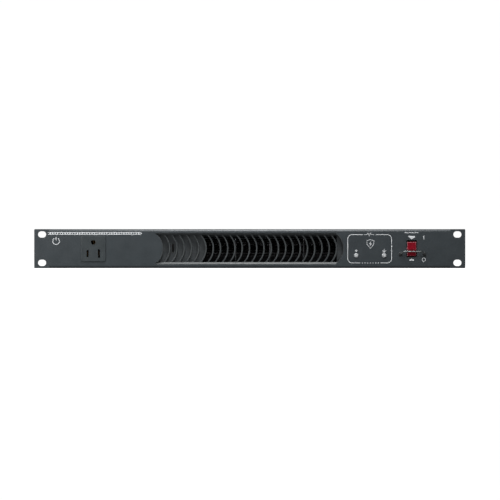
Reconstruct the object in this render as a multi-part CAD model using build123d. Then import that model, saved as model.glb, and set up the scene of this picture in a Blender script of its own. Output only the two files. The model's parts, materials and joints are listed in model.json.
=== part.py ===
from build123d import *
import math
import os

# One-unit 19-inch rack power strip: a front outlet, a tangential cooling blower behind a vaned grille,
# a surge protector with two lamps, a rocker breaker and a row of outlets at the back.
# Millimetres, +X to the right seen from the front, +Z up. The front faces -Y.
# Origin: centre of the four ear slots, on the rear face of the ears.

# ---------------------------------------------------------------- driving dimensions
# Front panel
PANEL_WIDTH = 482.6
PANEL_HEIGHT = 43.7
PANEL_T = 1.6
BEND_R = 3.0
FLANGE_HALF_X = 224.5
FLANGE_DEPTH = 14.0
EAR_CORNER_R = 1.0
SLOT_SPAN_X = 465.1
SLOT_SPAN_Z = 31.75
SLOT_LENGTH = 9.2
SLOT_WIDTH = 7.1

# Case
SHEET_T = 1.2
SHEET_BEND_R = 1.0
CASE_DEPTH = 200.0
CASE_HALF_X = 222.5
CASE_FRONT_Y = 1.6
COVER_LIP = 13.0
COVER_LIP_FRONT_Y = 16.0
REAR_LIP = 12.0
VENT_LENGTH = 15.0
VENT_WIDTH = 4.0
VENT_PITCH = 9.6
BLOWER_VENT_COLUMNS = 15
BLOWER_VENT_X = -45.0
BLOWER_VENT_Y = (32.0, 52.0)
MOTOR_VENT_COLUMNS = 4
MOTOR_VENT_X = -95.0
MOTOR_VENT_Y = (70.0, 90.0)

# Countersunk case screws
SCREW_R = 1.5
SCREW_HEAD_R = 2.7
SCREW_LENGTH = 5.0
CROSS_LENGTH = 2.6
CROSS_WIDTH = 0.6
CROSS_DEPTH = 0.8
PANEL_SCREW_X = (-205.0, -130.0, 130.0, 205.0)
PANEL_SCREW_Y = 10.5
REAR_SCREW_X = (-195.0, -65.0, 65.0, 170.0)
SIDE_SCREW_Y = (50.0, 120.0, 180.0)
SIDE_SCREW_DROP = 6.0
FOOT_SCREW_Y = (22.0, 44.0)
BAFFLE_SCREW_X = (-102.0, -70.0)
BAFFLE_SCREW_Y = 15.0

# Grille and the baffle behind its left end
GRILLE_HALF_Z = 17.5
GRILLE_WALL_T = 0.9
GRILLE_RIM_HALF_Z = 18.6
GRILLE_RIM_T = 2.2
RIM_LEFT = 11.0
RIM_RIGHT = 5.0
VANE_COUNT = 24
VANE_PITCH = 8.13
VANE_FIRST_X = -89.6
VANE_ARC_R = 21.6
VANE_T = 1.7
VANE_EDGE_R = 0.5
VANE_FRONT_Y = 0.6
GRILLE_BACK_Y = 7.0
SILL_Z = 15.15
SILL_BACK_Y = 6.0
SILL_FALL = 0.4
GRILLE_STUDS = ((-111.5, 0.0), (107.6, 11.5))
GRILLE_STUD_R = 1.5
GRILLE_STUD_END_Y = 7.0
BAFFLE_LEFT_X = -112.0
BAFFLE_VANE = 5
BAFFLE_Y = 10.0
BAFFLE_T = 1.0
BAFFLE_FOOT_DEPTH = 8.5
BAFFLE_FOOT_RIGHT_X = -62.0
BAFFLE_TOP_Z = 18.6
BAFFLE_SLOT_X = -86.4
BAFFLE_SLOT_Z = 0.7
BAFFLE_SLOT_LENGTH = 9.6
BAFFLE_SLOT_WIDTH = 2.6

# Blower
SHAFT_Y = 35.0
SHAFT_Z = 0.0
SHAFT_R = 2.0
SHAFT_CLEARANCE = 0.04
IMPELLER_R = 15.0
IMPELLER_X0 = -55.0
IMPELLER_X1 = 100.0
BLADE_COUNT = 24
BLADE_T = 0.6
BLADE_DEPTH = 3.5
BLADE_LEAN = 2.2
DISC_COUNT = 5
DISC_T = 1.0
HUB_R = 4.5
HUB_LENGTH = 7.0
PLATE_LEFT_X = -57.0
PLATE_RIGHT_X = 102.4
PLATE_T = 1.2
PLATE_FRONT_Y = 11.0
PLATE_BACK_Y = 58.0
PLATE_TOP_Z = 18.7
FOOT_LENGTH = 14.0
FOOT_Y = (19.0, 49.0)
FACE_LIP_X = (98.0, 108.4)
FACE_LIP_HALF_Z = 17.5
MOTOR_SIDE_HOLE_R = 6.0
SCROLL_T = 1.0
SCROLL_R = 18.0
SCROLL_LOW_Z = -18.2
SCROLL_SHIFT_Y = 1.0
SCROLL_END_ANGLE = 50.0
TONGUE_T = 0.8
TONGUE_BEND_R = 0.9
TONGUE_LINE = ((11.0, 18.1), (21.5, 18.1), (24.6, 13.8), (22.0, 11.6))
BUSH_R = 4.0
GROMMET_R = 8.0
GROMMET_GROOVE_R = 6.5
GROMMET_HALF_T = 2.2

# Blower motor
STATOR_X = (-88.0, -70.0)
STATOR_FRONT_Y = 19.0
STATOR_HEIGHT = 32.0
STATOR_BORE_R = 11.0
STATOR_CORNER_R = 2.0
WINDOW_Y = (51.0, 72.0)
WINDOW_HEIGHT = 18.6
LEG_Y = (72.0, 83.0)
POLE_GAP = 1.4
POLE_GAP_DEPTH = 5.0
POLE_GAP_SHIFT_Y = 5.0
COIL_X = (-97.0, -61.0)
COIL_Y = (64.0, 91.0)
COIL_HALF_Z = 7.6
COIL_CORNER_R = 5.0
BOBBIN_T = 1.6
BOBBIN_OVERHANG = 1.0
ROTOR_R = 10.6
ROTOR_RING_R = 9.4
ROTOR_RING_T = 1.5
BRACKET_X = (-97.0, -64.5)
BRACKET_SIZE = 31.0
BRACKET_T = 2.0
BRACKET_CORNER_R = 3.0
BRACKET_BOSS_R = 6.0
BRACKET_BOSS_REACH = 1.5
POST_R = 3.0
BOLT_R = 1.5
BOLT_HEAD_R = 2.7
BOLT_HEAD_T = 2.0
BOLT_Y = (23.0, 47.0)
BOLT_HALF_Z = 12.0
DRIVE_SHAFT_END_X = -101.0
IDLE_SHAFT_END_X = 109.0
IDLE_BUSH_X = (100.4, 106.4)

# Outlets
OUTLET_W = 27.6
OUTLET_H = 29.1
OUTLET_CORNER_R = 1.6
OUTLET_EDGE_R = 0.5
OUTLET_PROUD = 1.0
OUTLET_BODY_DEPTH = 24.0
SNAP_W = 26.4
SNAP_H = 27.9
SNAP_CORNER_R = 1.0
RAMP_T = 0.9
RAMP_LENGTH = 5.7
RAMP_HEIGHT = 8.0
BLADE_SPACING = 12.7
BLADE_Z = -5.5
GROUND_Z = 7.2
SLOT_OPEN_W = 2.3
HOT_SLOT_H = 7.6
NEUTRAL_SLOT_H = 9.4
GROUND_HOLE_R = 2.7
GROUND_FLAT = 2.2
ENTRY_DEPTH = 2.5
CONTACT_ROOM_W = 4.4
CONTACT_ROOM_EXTRA_H = 1.6
GROUND_ROOM = 6.4
FRONT_OUTLET_X = -175.1
REAR_OUTLET_COUNT = 8
REAR_OUTLET_X0 = -175.0
REAR_OUTLET_PITCH = 40.0
LEAF_T = 0.5
LEAF_OFFSET = 1.25
LEAF_HALF_H = 2.5
YOKE_HALF_W = 1.5
YOKE_T = 0.8
FRONT_LEAF_Y = 10.0
TAB_T = 0.8
TAB_LENGTH = 8.0
TAB_WIDTH = 4.8

# Bus bars and terminals
BUS_T = 0.8
BUS_END_GAP = 1.8
BUS_LEFT_X = -190.0
BUS_RIGHT_X = 140.0
BUS_LEAF_REACH = 16.0
LIVE_BAR_Z = (-12.6, -8.2)
NEUTRAL_BAR_Z = (-2.8, 1.6)
EARTH_BAR_Z = (4.8, 9.6)
TERMINAL_X = (128.0, 146.0)
TERMINAL_Y = (158.0, 178.0)
TERMINAL_TOP_Z = 13.0
POLES_Z = (-10.4, -0.6, 7.2)
POLE_HALF_H = 2.6
CLAMP_X = 137.0
CLAMP_HEAD_R = 2.1
CLAMP_SHANK_R = 1.2
CLAMP_HEAD_T = 2.0
CLAMP_WELL_R = 2.2
WIRE_ENTRY_Y = 170.0
WIRE_ENTRY_R = 2.0

# Cord gland and earth stud
GLAND_X = 190.0
GLAND_BORE_R = 4.2
GLAND_THREAD_R = 7.9
GLAND_THREAD_LENGTH = 12.0
GLAND_HEX_R = 11.0
GLAND_HEX_T = 5.0
GLAND_DOME_R = (9.6, 6.8)
GLAND_DOME_LENGTH = 8.0
GLAND_NUT_R = 11.5
STUD_X = 150.0
STUD_R = 2.5
STUD_BASE_R = 3.0
STUD_STEP = 4.0
STUD_FREE_LENGTH = 9.0
STUD_TIP = 0.6
STUD_INNER_LENGTH = 8.0
STUD_HEX_R = 5.2
STUD_NUT_R = 5.6

# Surge board and lamps
BOARD_X = (111.0, 160.0)
BOARD_Y = 14.0
BOARD_T = 1.6
BOARD_HEIGHT = 33.0
BOARD_CORNER_R = 1.5
STANDOFF_INSET = 3.5
STANDOFF_HALF_Z = 12.5
STANDOFF_R = 3.0
BOARD_SCREW_HEAD_R = 2.8
BOARD_SCREW_HEAD_T = 1.8
BOARD_SCREW_REACH = 6.0
LED_R = 2.4
LED_FLANGE_R = 2.9
LED_BACK_Y = 4.0
LED_DOME = 0.7
LED_LEG_R = 0.3
LED_LEG_OFFSET = 1.27
LED_PLACES = ((119.2, -7.5), (150.4, -7.5))
VARISTOR_X = (125.0, 132.0, 139.0)
VARISTOR_R = 7.0
VARISTOR_T = 4.0
VARISTOR_Z = 4.0
VARISTOR_STANDOFF = 9.0
WIRE_R = 0.4
FUSE_X = (126.0, 138.0)
FUSE_R = 2.0
FUSE_Z = -9.0
FUSE_STANDOFF = 2.2
FUSE_LEG_REACH = 3.5

# Rocker breaker and its guard
SWITCH_X = 181.3
SWITCH_HOLE_W = 11.8
SWITCH_HOLE_H = 19.2
SWITCH_HOLE_CORNER_R = 0.8
SWITCH_DEPTH = 24.0
SWITCH_WALL = 3.0
HOUSING_HALF_W = 7.3
HOUSING_HALF_Z = 11.0
FRAME_SETBACK = 0.3
CAVITY_HALF_W = 5.7
CAVITY_HALF_Z = 9.4
ROCKER_W = 10.0
ROCKER_HALF_Z = 8.05
ROCKER_END_Y = -1.4
ROCKER_CREST_Y = -3.1
ROCKER_EDGE_R = 0.5
ROCKER_SHOULDER_Y = 2.0
ROCKER_FOOT_Y = 7.0
ROCKER_FOOT_HALF_Z = 4.6
ROCKER_PIVOT_Y = 2.0
ROCKER_TILT = 9.0
POCKET_Z = 4.3
POCKET_HALF_H = 2.1
POCKET_HALF_W = 4.2
POCKET_FRONT_Y = 1.5
TRUNNION_R = 1.5
TRUNNION_HALF_X = 6.3
PLUNGER_R = 1.35
PLUNGER_Y = (4.0, 11.6)
BRIDGE_PIVOT_Y = 15.0
BRIDGE_TILT = 6.0
BRIDGE_HALF_W = 2.5
BRIDGE_HALF_L = 6.2
BRIDGE_HALF_T = 0.5
BUTTON_Z = 4.8
BUTTON_R = 1.4
BUTTON_T = 0.8
FULCRUM_R = 0.9
FULCRUM_HALF_X = 3.0
BREAKER_TAB_Z = (-6.4, 0.0, 6.4)
BREAKER_TAB_INNER_Y = (18.2, 16.0, 18.2)
BREAKER_TAB_T = 0.8
BREAKER_TAB_HALF_W = 3.15
BREAKER_TAB_REACH = 8.0
GUARD_R = 0.8
GUARD_FEET_X = (168.6, 195.4)
GUARD_FOOT_Z = -6.0
GUARD_BAR_Y = -6.8
GUARD_BAR_Z = -3.3
GUARD_TURN_Y = -3.6
GUARD_SLANT = 3.6
GUARD_END_Y = 1.5
GUARD_BEND_R = 1.8
COLLAR_R = 2.0
COLLAR_T = 1.0
COLLAR_EDGE_R = 0.4

# Insulated leads
LEAD_R = 1.3

# Gaps and overlaps
FIT_GAP = 0.1
SCREW_GAP = 0.05
PAST = 1.0
ROOT = 0.2

# ---------------------------------------------------------------- worked-out dimensions
HALF_W = PANEL_WIDTH / 2
HALF_H = PANEL_HEIGHT / 2
SKIN_Z = HALF_H - PANEL_T
INNER_Z = SKIN_Z - SHEET_T
TRAY_HALF_X = CASE_HALF_X - SHEET_T - FIT_GAP
REAR_FACE_Y = CASE_DEPTH
REAR_INNER_Y = REAR_FACE_Y - SHEET_T
REAR_SCREW_Y = REAR_FACE_Y - REAR_LIP / 2
VANE_SAG = VANE_ARC_R - math.sqrt(VANE_ARC_R**2 - GRILLE_HALF_Z**2)
GRILLE_LEFT_X = VANE_FIRST_X - VANE_PITCH
GRILLE_RIGHT_X = VANE_FIRST_X + VANE_COUNT * VANE_PITCH
SHAFT_HOLE_R = SHAFT_R + SHAFT_CLEARANCE
FOOT_SCREW_X = (PLATE_LEFT_X - 3.7, PLATE_RIGHT_X + 8.0)
MOTOR_BOLTS = [(y, z) for y in BOLT_Y for z in (-BOLT_HALF_Z, BOLT_HALF_Z)]
BUS_Y = REAR_INNER_Y - OUTLET_BODY_DEPTH - BUS_END_GAP
STUD_STEP_Y = REAR_FACE_Y + STUD_STEP
BOARD_BACK_Y = BOARD_Y + BOARD_T
STANDOFF_X = (BOARD_X[0] + STANDOFF_INSET, BOARD_X[1] - STANDOFF_INSET)
STANDOFF_PLACES = [(x, z) for x in STANDOFF_X for z in (-STANDOFF_HALF_Z, STANDOFF_HALF_Z)]
REAR_OUTLETS_X = [REAR_OUTLET_X0 + i * REAR_OUTLET_PITCH for i in range(REAR_OUTLET_COUNT)]


# ---------------------------------------------------------------- helpers
def block(x0, x1, y0, y1, z0, z1):
    """A box between two corners, given in either order."""
    middle = Pos((x0 + x1) / 2, (y0 + y1) / 2, (z0 + z1) / 2)
    return middle * Box(abs(x1 - x0), abs(y1 - y0), abs(z1 - z0))


def rod_x(x0, x1, y, z, radius):
    """A cylinder along X."""
    return Pos((x0 + x1) / 2, y, z) * Rot(0, 90, 0) * Cylinder(radius, abs(x1 - x0))


def rod_y(x, y0, y1, z, radius):
    """A cylinder along Y."""
    return Pos(x, (y0 + y1) / 2, z) * Rot(90, 0, 0) * Cylinder(radius, abs(y1 - y0))


def plate_y(sketch, y0, y1):
    """An X-Z outline made solid between two places along Y."""
    return extrude(Plane.XZ.offset(-max(y0, y1)) * sketch, abs(y1 - y0), dir=(0, -1, 0))


def bar_x(sketch, x0, x1):
    """A Y-Z outline made solid from x0 to x1."""
    return extrude(Plane.YZ.offset(x0) * sketch, x1 - x0, dir=(1, 0, 0))


def save(shape, node):
    export_step(shape, "parts/" + node + ".step")


def outer_edges(shape, axis, half_x, z):
    """The edges along an axis that lie at +-half_x and at height z."""
    def is_outer(edge):
        middle = edge.center()
        return abs(abs(middle.X) - half_x) < 0.01 and abs(middle.Z - z) < 0.01

    return shape.edges().filter_by(axis).filter_by(is_outer)


# ---------------------------------------------------------------- case screws
def screw_profile(gap, extra_length):
    """Head cone and shank, pointing down, with the top of the head at the origin."""
    cone_h = SCREW_HEAD_R - SCREW_R
    shape = Pos(0, 0, -cone_h / 2) * Cone(SCREW_R + gap, SCREW_HEAD_R + gap, cone_h)
    return shape + Pos(0, 0, -SCREW_LENGTH / 2) * Cylinder(SCREW_R + gap, SCREW_LENGTH + extra_length)


def flat_screw():
    shape = screw_profile(0, 0)
    for turn in (0, 90):
        shape -= Rot(0, 0, turn) * Pos(0, 0, -CROSS_DEPTH / 2) * Box(CROSS_LENGTH, CROSS_WIDTH, CROSS_DEPTH)
    return shape


def case_screw_places():
    """Where each case screw's head is and which way it points."""
    places = []
    for x in PANEL_SCREW_X:
        places.append(Location((x, PANEL_SCREW_Y, HALF_H), (0, 0, 0)))
        places.append(Location((x, PANEL_SCREW_Y, -HALF_H), (180, 0, 0)))
    for x in REAR_SCREW_X:
        places.append(Location((x, REAR_SCREW_Y, SKIN_Z), (0, 0, 0)))
        places.append(Location((x, REAR_SCREW_Y, -SKIN_Z), (180, 0, 0)))
    for y in SIDE_SCREW_Y:
        places.append(Location((CASE_HALF_X, y, INNER_Z - SIDE_SCREW_DROP), (0, 90, 0)))
        places.append(Location((-CASE_HALF_X, y, INNER_Z - SIDE_SCREW_DROP), (0, -90, 0)))
    for x in FOOT_SCREW_X:
        for y in FOOT_SCREW_Y:
            places.append(Location((x, y, -SKIN_Z), (180, 0, 0)))
    for x in BAFFLE_SCREW_X:
        places.append(Location((x, BAFFLE_SCREW_Y, -SKIN_Z), (180, 0, 0)))
    return places


def case_screws():
    return Compound([place * flat_screw() for place in case_screw_places()])


def drill(shape):
    """Cut every case screw hole that the shape has."""
    return shape - [place * screw_profile(SCREW_GAP, PAST) for place in case_screw_places()]


# ---------------------------------------------------------------- front panel
def arc_band(x_left, x_right, half_z):
    """The area between two like arcs that both bulge to +X."""
    sag = VANE_ARC_R - math.sqrt(VANE_ARC_R**2 - half_z**2)
    left = ThreePointArc((x_left - sag, -half_z), (x_left, 0), (x_left - sag, half_z))
    right = ThreePointArc((x_right - sag, -half_z), (x_right, 0), (x_right - sag, half_z))
    top = Line((x_left - sag, half_z), (x_right - sag, half_z))
    bottom = Line((x_left - sag, -half_z), (x_right - sag, -half_z))
    return make_face([left, top, right, bottom])


def panel_openings():
    y0, y1 = -PANEL_T - PAST, PAST
    holes = plate_y(arc_band(GRILLE_LEFT_X, GRILLE_RIGHT_X, GRILLE_HALF_Z), y0, y1)
    for x in (-SLOT_SPAN_X / 2, SLOT_SPAN_X / 2):
        for z in (-SLOT_SPAN_Z / 2, SLOT_SPAN_Z / 2):
            holes += plate_y(Pos(x, z) * SlotOverall(SLOT_LENGTH, SLOT_WIDTH), y0, y1)
    holes += plate_y(Pos(FRONT_OUTLET_X, 0) * RectangleRounded(SNAP_W, SNAP_H, SNAP_CORNER_R), y0, y1)
    switch_hole = RectangleRounded(SWITCH_HOLE_W, SWITCH_HOLE_H, SWITCH_HOLE_CORNER_R)
    holes += plate_y(Pos(SWITCH_X, 0) * switch_hole, y0, y1)
    for x, z in LED_PLACES:
        holes += rod_y(x, y0, y1, z, LED_R + FIT_GAP)
    for x in GUARD_FEET_X:
        holes += rod_y(x, y0, y1, GUARD_FOOT_Z, GUARD_R + SCREW_GAP)
    return holes


def front_panel():
    """Sheet with flat ears, whose top and bottom edges are bent back between the ears."""
    stock = 60.0
    outer = RectangleRounded(stock, PANEL_HEIGHT, BEND_R)
    inner = RectangleRounded(stock - 2 * PANEL_T, PANEL_HEIGHT - 2 * PANEL_T, BEND_R - PANEL_T)
    wrap = Pos(stock / 2 - PANEL_T, 0) * (outer - inner)
    wrap -= Pos(FLANGE_DEPTH + stock / 2, 0) * Rectangle(stock, stock)
    shape = bar_x(wrap, -FLANGE_HALF_X, FLANGE_HALF_X)
    flat_half_z = HALF_H - BEND_R - 0.5
    shape += block(-HALF_W, HALF_W, -PANEL_T, 0, -flat_half_z, flat_half_z)
    for side in (-1, 1):
        shape += block(side * FLANGE_HALF_X, side * HALF_W, -PANEL_T, 0, -HALF_H, HALF_H)
    for z in (-HALF_H, HALF_H):
        shape = fillet(outer_edges(shape, Axis.Y, HALF_W, z), EAR_CORNER_R)
    shape -= panel_openings()
    for x, z in GRILLE_STUDS:
        shape += rod_y(x, -ROOT, GRILLE_STUD_END_Y, z, GRILLE_STUD_R)
    return drill(shape)


# ---------------------------------------------------------------- chassis and covers
def chassis_base():
    shape = block(-TRAY_HALF_X, TRAY_HALF_X, CASE_FRONT_Y, CASE_DEPTH, -SKIN_Z, -INNER_Z)
    for side in (-1, 1):
        shape += block(side * TRAY_HALF_X, side * (TRAY_HALF_X - SHEET_T), CASE_FRONT_Y, CASE_DEPTH, -SKIN_Z,
                       INNER_Z - FIT_GAP)
    return drill(fillet(outer_edges(shape, Axis.Y, TRAY_HALF_X, -SKIN_Z), SHEET_BEND_R))


def vents(first_x, columns, rows_y):
    """Cutters for a block of slots in the top cover."""
    slot = Rot(0, 0, 90) * SlotOverall(VENT_LENGTH, VENT_WIDTH)
    cutter = extrude(slot, SHEET_T + PAST, both=True)
    places = [Location((first_x + i * VENT_PITCH, y, SKIN_Z)) for i in range(columns) for y in rows_y]
    return [place * cutter for place in places]


def top_cover():
    shape = block(-CASE_HALF_X, CASE_HALF_X, CASE_FRONT_Y, CASE_DEPTH, INNER_Z, SKIN_Z)
    for side in (-1, 1):
        shape += block(side * CASE_HALF_X, side * (CASE_HALF_X - SHEET_T), COVER_LIP_FRONT_Y,
                       CASE_DEPTH - SHEET_T, SKIN_Z - COVER_LIP, SKIN_Z)
    shape = fillet(outer_edges(shape, Axis.Y, CASE_HALF_X, SKIN_Z), SHEET_BEND_R)
    shape -= vents(BLOWER_VENT_X, BLOWER_VENT_COLUMNS, BLOWER_VENT_Y)
    shape -= vents(MOTOR_VENT_X, MOTOR_VENT_COLUMNS, MOTOR_VENT_Y)
    return drill(shape)


def rear_panel():
    half_x = TRAY_HALF_X - SHEET_T - 2 * FIT_GAP
    y0, y1 = REAR_INNER_Y - PAST, REAR_FACE_Y + PAST
    shape = block(-half_x, half_x, REAR_INNER_Y, REAR_FACE_Y, -INNER_Z, INNER_Z)
    for side in (-1, 1):
        shape += block(-half_x, half_x, REAR_FACE_Y - REAR_LIP, REAR_FACE_Y, side * (INNER_Z - SHEET_T),
                       side * INNER_Z)
    for x in REAR_OUTLETS_X:
        shape -= plate_y(Pos(x, 0) * RectangleRounded(SNAP_W, SNAP_H, SNAP_CORNER_R), y0, y1)
    shape -= rod_y(GLAND_X, y0, y1, 0, GLAND_THREAD_R + FIT_GAP)
    shape -= rod_y(STUD_X, y0, y1, 0, STUD_BASE_R + SCREW_GAP)
    return drill(shape)


# ---------------------------------------------------------------- grille
def vane(x, half_z):
    band = plate_y(arc_band(x - VANE_T / 2, x + VANE_T / 2, half_z), VANE_FRONT_Y, GRILLE_BACK_Y)
    front = band.faces().sort_by(Axis.Y)[0]
    return fillet(front.edges().filter_by(GeomType.CIRCLE), VANE_EDGE_R)


def vane_grille():
    """Moulding with a rim behind the panel, a wall that lines the opening, sloped sills and 24 vanes."""
    front_y = FIT_GAP - PANEL_T
    half_z = GRILLE_HALF_Z - FIT_GAP
    opening = arc_band(GRILLE_LEFT_X + FIT_GAP, GRILLE_RIGHT_X - FIT_GAP, half_z)
    inside = arc_band(GRILLE_LEFT_X + GRILLE_WALL_T, GRILLE_RIGHT_X - GRILLE_WALL_T,
                      GRILLE_HALF_Z - GRILLE_WALL_T)
    x_left = GRILLE_LEFT_X - VANE_SAG - RIM_LEFT
    x_right = GRILLE_RIGHT_X + RIM_RIGHT
    rim = Pos((x_left + x_right) / 2, 0) * RectangleRounded(x_right - x_left, 2 * GRILLE_RIM_HALF_Z, 1.5)
    shape = plate_y(rim, 0, GRILLE_RIM_T)
    plug = plate_y(opening, front_y, GRILLE_BACK_Y)
    shape += plug
    shape -= plate_y(inside, front_y - PAST, GRILLE_BACK_Y + PAST)
    sill_x0, sill_x1 = GRILLE_LEFT_X - VANE_SAG + 1.2, GRILLE_RIGHT_X - VANE_SAG + 0.2
    before = front_y - PAST
    for side in (-1, 1):
        lip_z, top_z, wall_z = side * (half_z - FIT_GAP), side * SILL_Z, side * half_z
        in_front = Polygon((front_y, lip_z), (VANE_FRONT_Y, top_z), (before, top_z), (before, lip_z),
                           align=None)
        shape -= bar_x(in_front, sill_x0, sill_x1)
        sill = Polygon((front_y, lip_z), (VANE_FRONT_Y, top_z), (SILL_BACK_Y, top_z + side * SILL_FALL),
                       (SILL_BACK_Y, wall_z), (front_y, wall_z), align=None)
        shape += bar_x(sill, x_left, x_right) & plug
    vanes = [vane(VANE_FIRST_X + i * VANE_PITCH, half_z) for i in range(VANE_COUNT)]
    shape = shape.fuse(*vanes)
    hole_r = GRILLE_STUD_R + SCREW_GAP
    return shape - [rod_y(x, -PAST, GRILLE_RIM_T + PAST, z, hole_r) for x, z in GRILLE_STUDS]


def grille_nuts():
    """Push-on nuts on the panel's two studs."""
    washer_t, washer_r = 0.6, 3.6
    dome_t, dome_r = 1.6, 2.6
    nuts = []
    for x, z in GRILLE_STUDS:
        seat_y = GRILLE_RIM_T + washer_t
        nut = rod_y(x, GRILLE_RIM_T, seat_y, z, washer_r) + rod_y(x, seat_y, seat_y + dome_t, z, dome_r)
        nuts.append(nut - rod_y(x, 0, seat_y + dome_t + PAST, z, GRILLE_STUD_R))
    return Compound(nuts)


def motor_baffle():
    """Sheet that closes the grille's left end as far as one vane, with a foot and one upright slot."""
    back_y = BAFFLE_Y + BAFFLE_T
    edge_x = VANE_FIRST_X + BAFFLE_VANE * VANE_PITCH
    shape = block(BAFFLE_LEFT_X, edge_x - VANE_SAG, BAFFLE_Y, back_y, -INNER_Z, BAFFLE_TOP_Z)
    shape += plate_y(arc_band(edge_x - 2 * VANE_SAG, edge_x, GRILLE_HALF_Z), BAFFLE_Y, back_y)
    shape += block(BAFFLE_LEFT_X, BAFFLE_FOOT_RIGHT_X, BAFFLE_Y, BAFFLE_Y + BAFFLE_FOOT_DEPTH, -INNER_Z,
                   BAFFLE_T - INNER_Z)
    slot = Rot(0, 0, 90) * SlotOverall(BAFFLE_SLOT_LENGTH, BAFFLE_SLOT_WIDTH)
    shape -= plate_y(Pos(BAFFLE_SLOT_X, BAFFLE_SLOT_Z) * slot, BAFFLE_Y - PAST, back_y + PAST)
    return drill(shape)


# ---------------------------------------------------------------- outlets
def outlet(x, side):
    """Three-pin outlet with its earth hole up. side is -1 for a front one, +1 for a rear one."""
    face_y = -PANEL_T if side < 0 else REAR_FACE_Y
    sheet = PANEL_T if side < 0 else SHEET_T
    back = sheet + OUTLET_BODY_DEPTH

    def slab(sketch, near, far):
        """An outline made solid between two depths behind the outlet's mounting face."""
        return plate_y(Pos(x, 0) * sketch, face_y - side * near, face_y - side * far)

    shape = slab(RectangleRounded(OUTLET_W, OUTLET_H, OUTLET_CORNER_R), -OUTLET_PROUD, 0)
    front = shape.faces().sort_by(Axis.Y)[0 if side < 0 else -1]
    shape = fillet(front.edges(), OUTLET_EDGE_R)
    body_w = SNAP_W - 2 * FIT_GAP
    body_h = SNAP_H - 2 * FIT_GAP
    shape += slab(RectangleRounded(body_w, body_h, SNAP_CORNER_R - FIT_GAP), 0, back)
    ramp_near = sheet + 0.3
    for edge in (-1, 1):
        ramp = Pos(edge * (body_w + RAMP_T) / 2, 0) * Rectangle(RAMP_T, RAMP_HEIGHT)
        shape += slab(ramp, ramp_near, ramp_near + RAMP_LENGTH)
    hot_x = side * BLADE_SPACING / 2
    for slot_x, slot_h in ((hot_x, HOT_SLOT_H), (-hot_x, NEUTRAL_SLOT_H)):
        place = Pos(slot_x, BLADE_Z)
        room = Rectangle(CONTACT_ROOM_W, slot_h + CONTACT_ROOM_EXTRA_H)
        shape -= slab(place * Rectangle(SLOT_OPEN_W, slot_h), -OUTLET_PROUD - PAST, ENTRY_DEPTH + PAST)
        shape -= slab(place * room, ENTRY_DEPTH, back + PAST)
    ground = Pos(0, GROUND_Z) * Circle(GROUND_HOLE_R)
    ground -= Pos(0, GROUND_Z + GROUND_HOLE_R + 0.6) * Rectangle(3 * GROUND_HOLE_R, GROUND_FLAT)
    shape -= slab(ground, -OUTLET_PROUD - PAST, ENTRY_DEPTH + PAST)
    return shape - slab(Pos(0, GROUND_Z) * Rectangle(GROUND_ROOM, GROUND_ROOM), ENTRY_DEPTH, back + PAST)


def leaves(x, z, y0, y1):
    """A pair of sprung leaves that grip one blade."""
    pair = []
    for side in (-1, 1):
        middle = x + side * LEAF_OFFSET
        pair.append(block(middle - LEAF_T / 2, middle + LEAF_T / 2, y0, y1, z - LEAF_HALF_H, z + LEAF_HALF_H))
    return pair[0] + pair[1]


def front_outlet_contacts():
    """Three contacts, each a yoke with two leaves and a push-on tab."""
    back_y = OUTLET_BODY_DEPTH + 1.0
    yoke_y = back_y + YOKE_T - ROOT
    contacts = []
    for x, z in ((-BLADE_SPACING / 2, BLADE_Z), (BLADE_SPACING / 2, BLADE_Z), (0, GROUND_Z)):
        cx = FRONT_OUTLET_X + x
        contact = leaves(cx, z, FRONT_LEAF_Y, back_y)
        contact += block(cx - YOKE_HALF_W, cx + YOKE_HALF_W, back_y - ROOT, yoke_y, z - LEAF_HALF_H,
                         z + LEAF_HALF_H)
        contact += block(cx - TAB_T / 2, cx + TAB_T / 2, back_y, back_y + TAB_LENGTH, z - TAB_WIDTH / 2,
                         z + TAB_WIDTH / 2)
        contacts.append(contact)
    return Compound(contacts)


def bus_bar(x_offset, leaf_z, bar_z):
    """A strip along the outlet row with a pair of leaves for each outlet."""
    low_z, high_z = bar_z
    shape = block(BUS_LEFT_X, BUS_RIGHT_X, BUS_Y - BUS_T, BUS_Y, low_z, high_z)
    for x in REAR_OUTLETS_X:
        cx = x + x_offset
        shape += block(cx - YOKE_HALF_W, cx + YOKE_HALF_W, BUS_Y - BUS_T, BUS_Y,
                       min(low_z, leaf_z - LEAF_HALF_H), max(high_z, leaf_z + LEAF_HALF_H))
        shape += leaves(cx, leaf_z, BUS_Y - ROOT, BUS_Y + BUS_LEAF_REACH)
    return shape


# ---------------------------------------------------------------- inlet, terminals, earth
def terminal_block():
    """Three-pole block that takes the bus bars on one side and the breaker's lead on the other."""
    shape = block(*TERMINAL_X, *TERMINAL_Y, -INNER_Z, TERMINAL_TOP_Z)
    shape = fillet(shape.edges().filter_by(Axis.Z), 1.0)
    bar_front_y = BUS_Y - BUS_T
    for z in POLES_Z:
        shape -= block(TERMINAL_X[0] - PAST, BUS_RIGHT_X + ROOT, bar_front_y - FIT_GAP, BUS_Y + FIT_GAP,
                       z - POLE_HALF_H, z + POLE_HALF_H)
        shape -= rod_y(CLAMP_X, TERMINAL_Y[0] - PAST, bar_front_y, z, CLAMP_WELL_R)
        shape -= rod_x(BUS_RIGHT_X, TERMINAL_X[1] + PAST, WIRE_ENTRY_Y, z, WIRE_ENTRY_R)
    return shape


def terminal_screws():
    screws = []
    head_y = TERMINAL_Y[0] + 2.0
    for z in POLES_Z:
        screw = rod_y(CLAMP_X, head_y, head_y + CLAMP_HEAD_T, z, CLAMP_HEAD_R)
        screw += rod_y(CLAMP_X, head_y + CLAMP_HEAD_T, BUS_Y - BUS_T - FIT_GAP, z, CLAMP_SHANK_R)
        slot = block(CLAMP_X - 2 * PAST, CLAMP_X + 2 * PAST, head_y - PAST, head_y + 0.7, z - 0.3, z + 0.3)
        screws.append(screw - slot)
    return Compound(screws)


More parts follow.
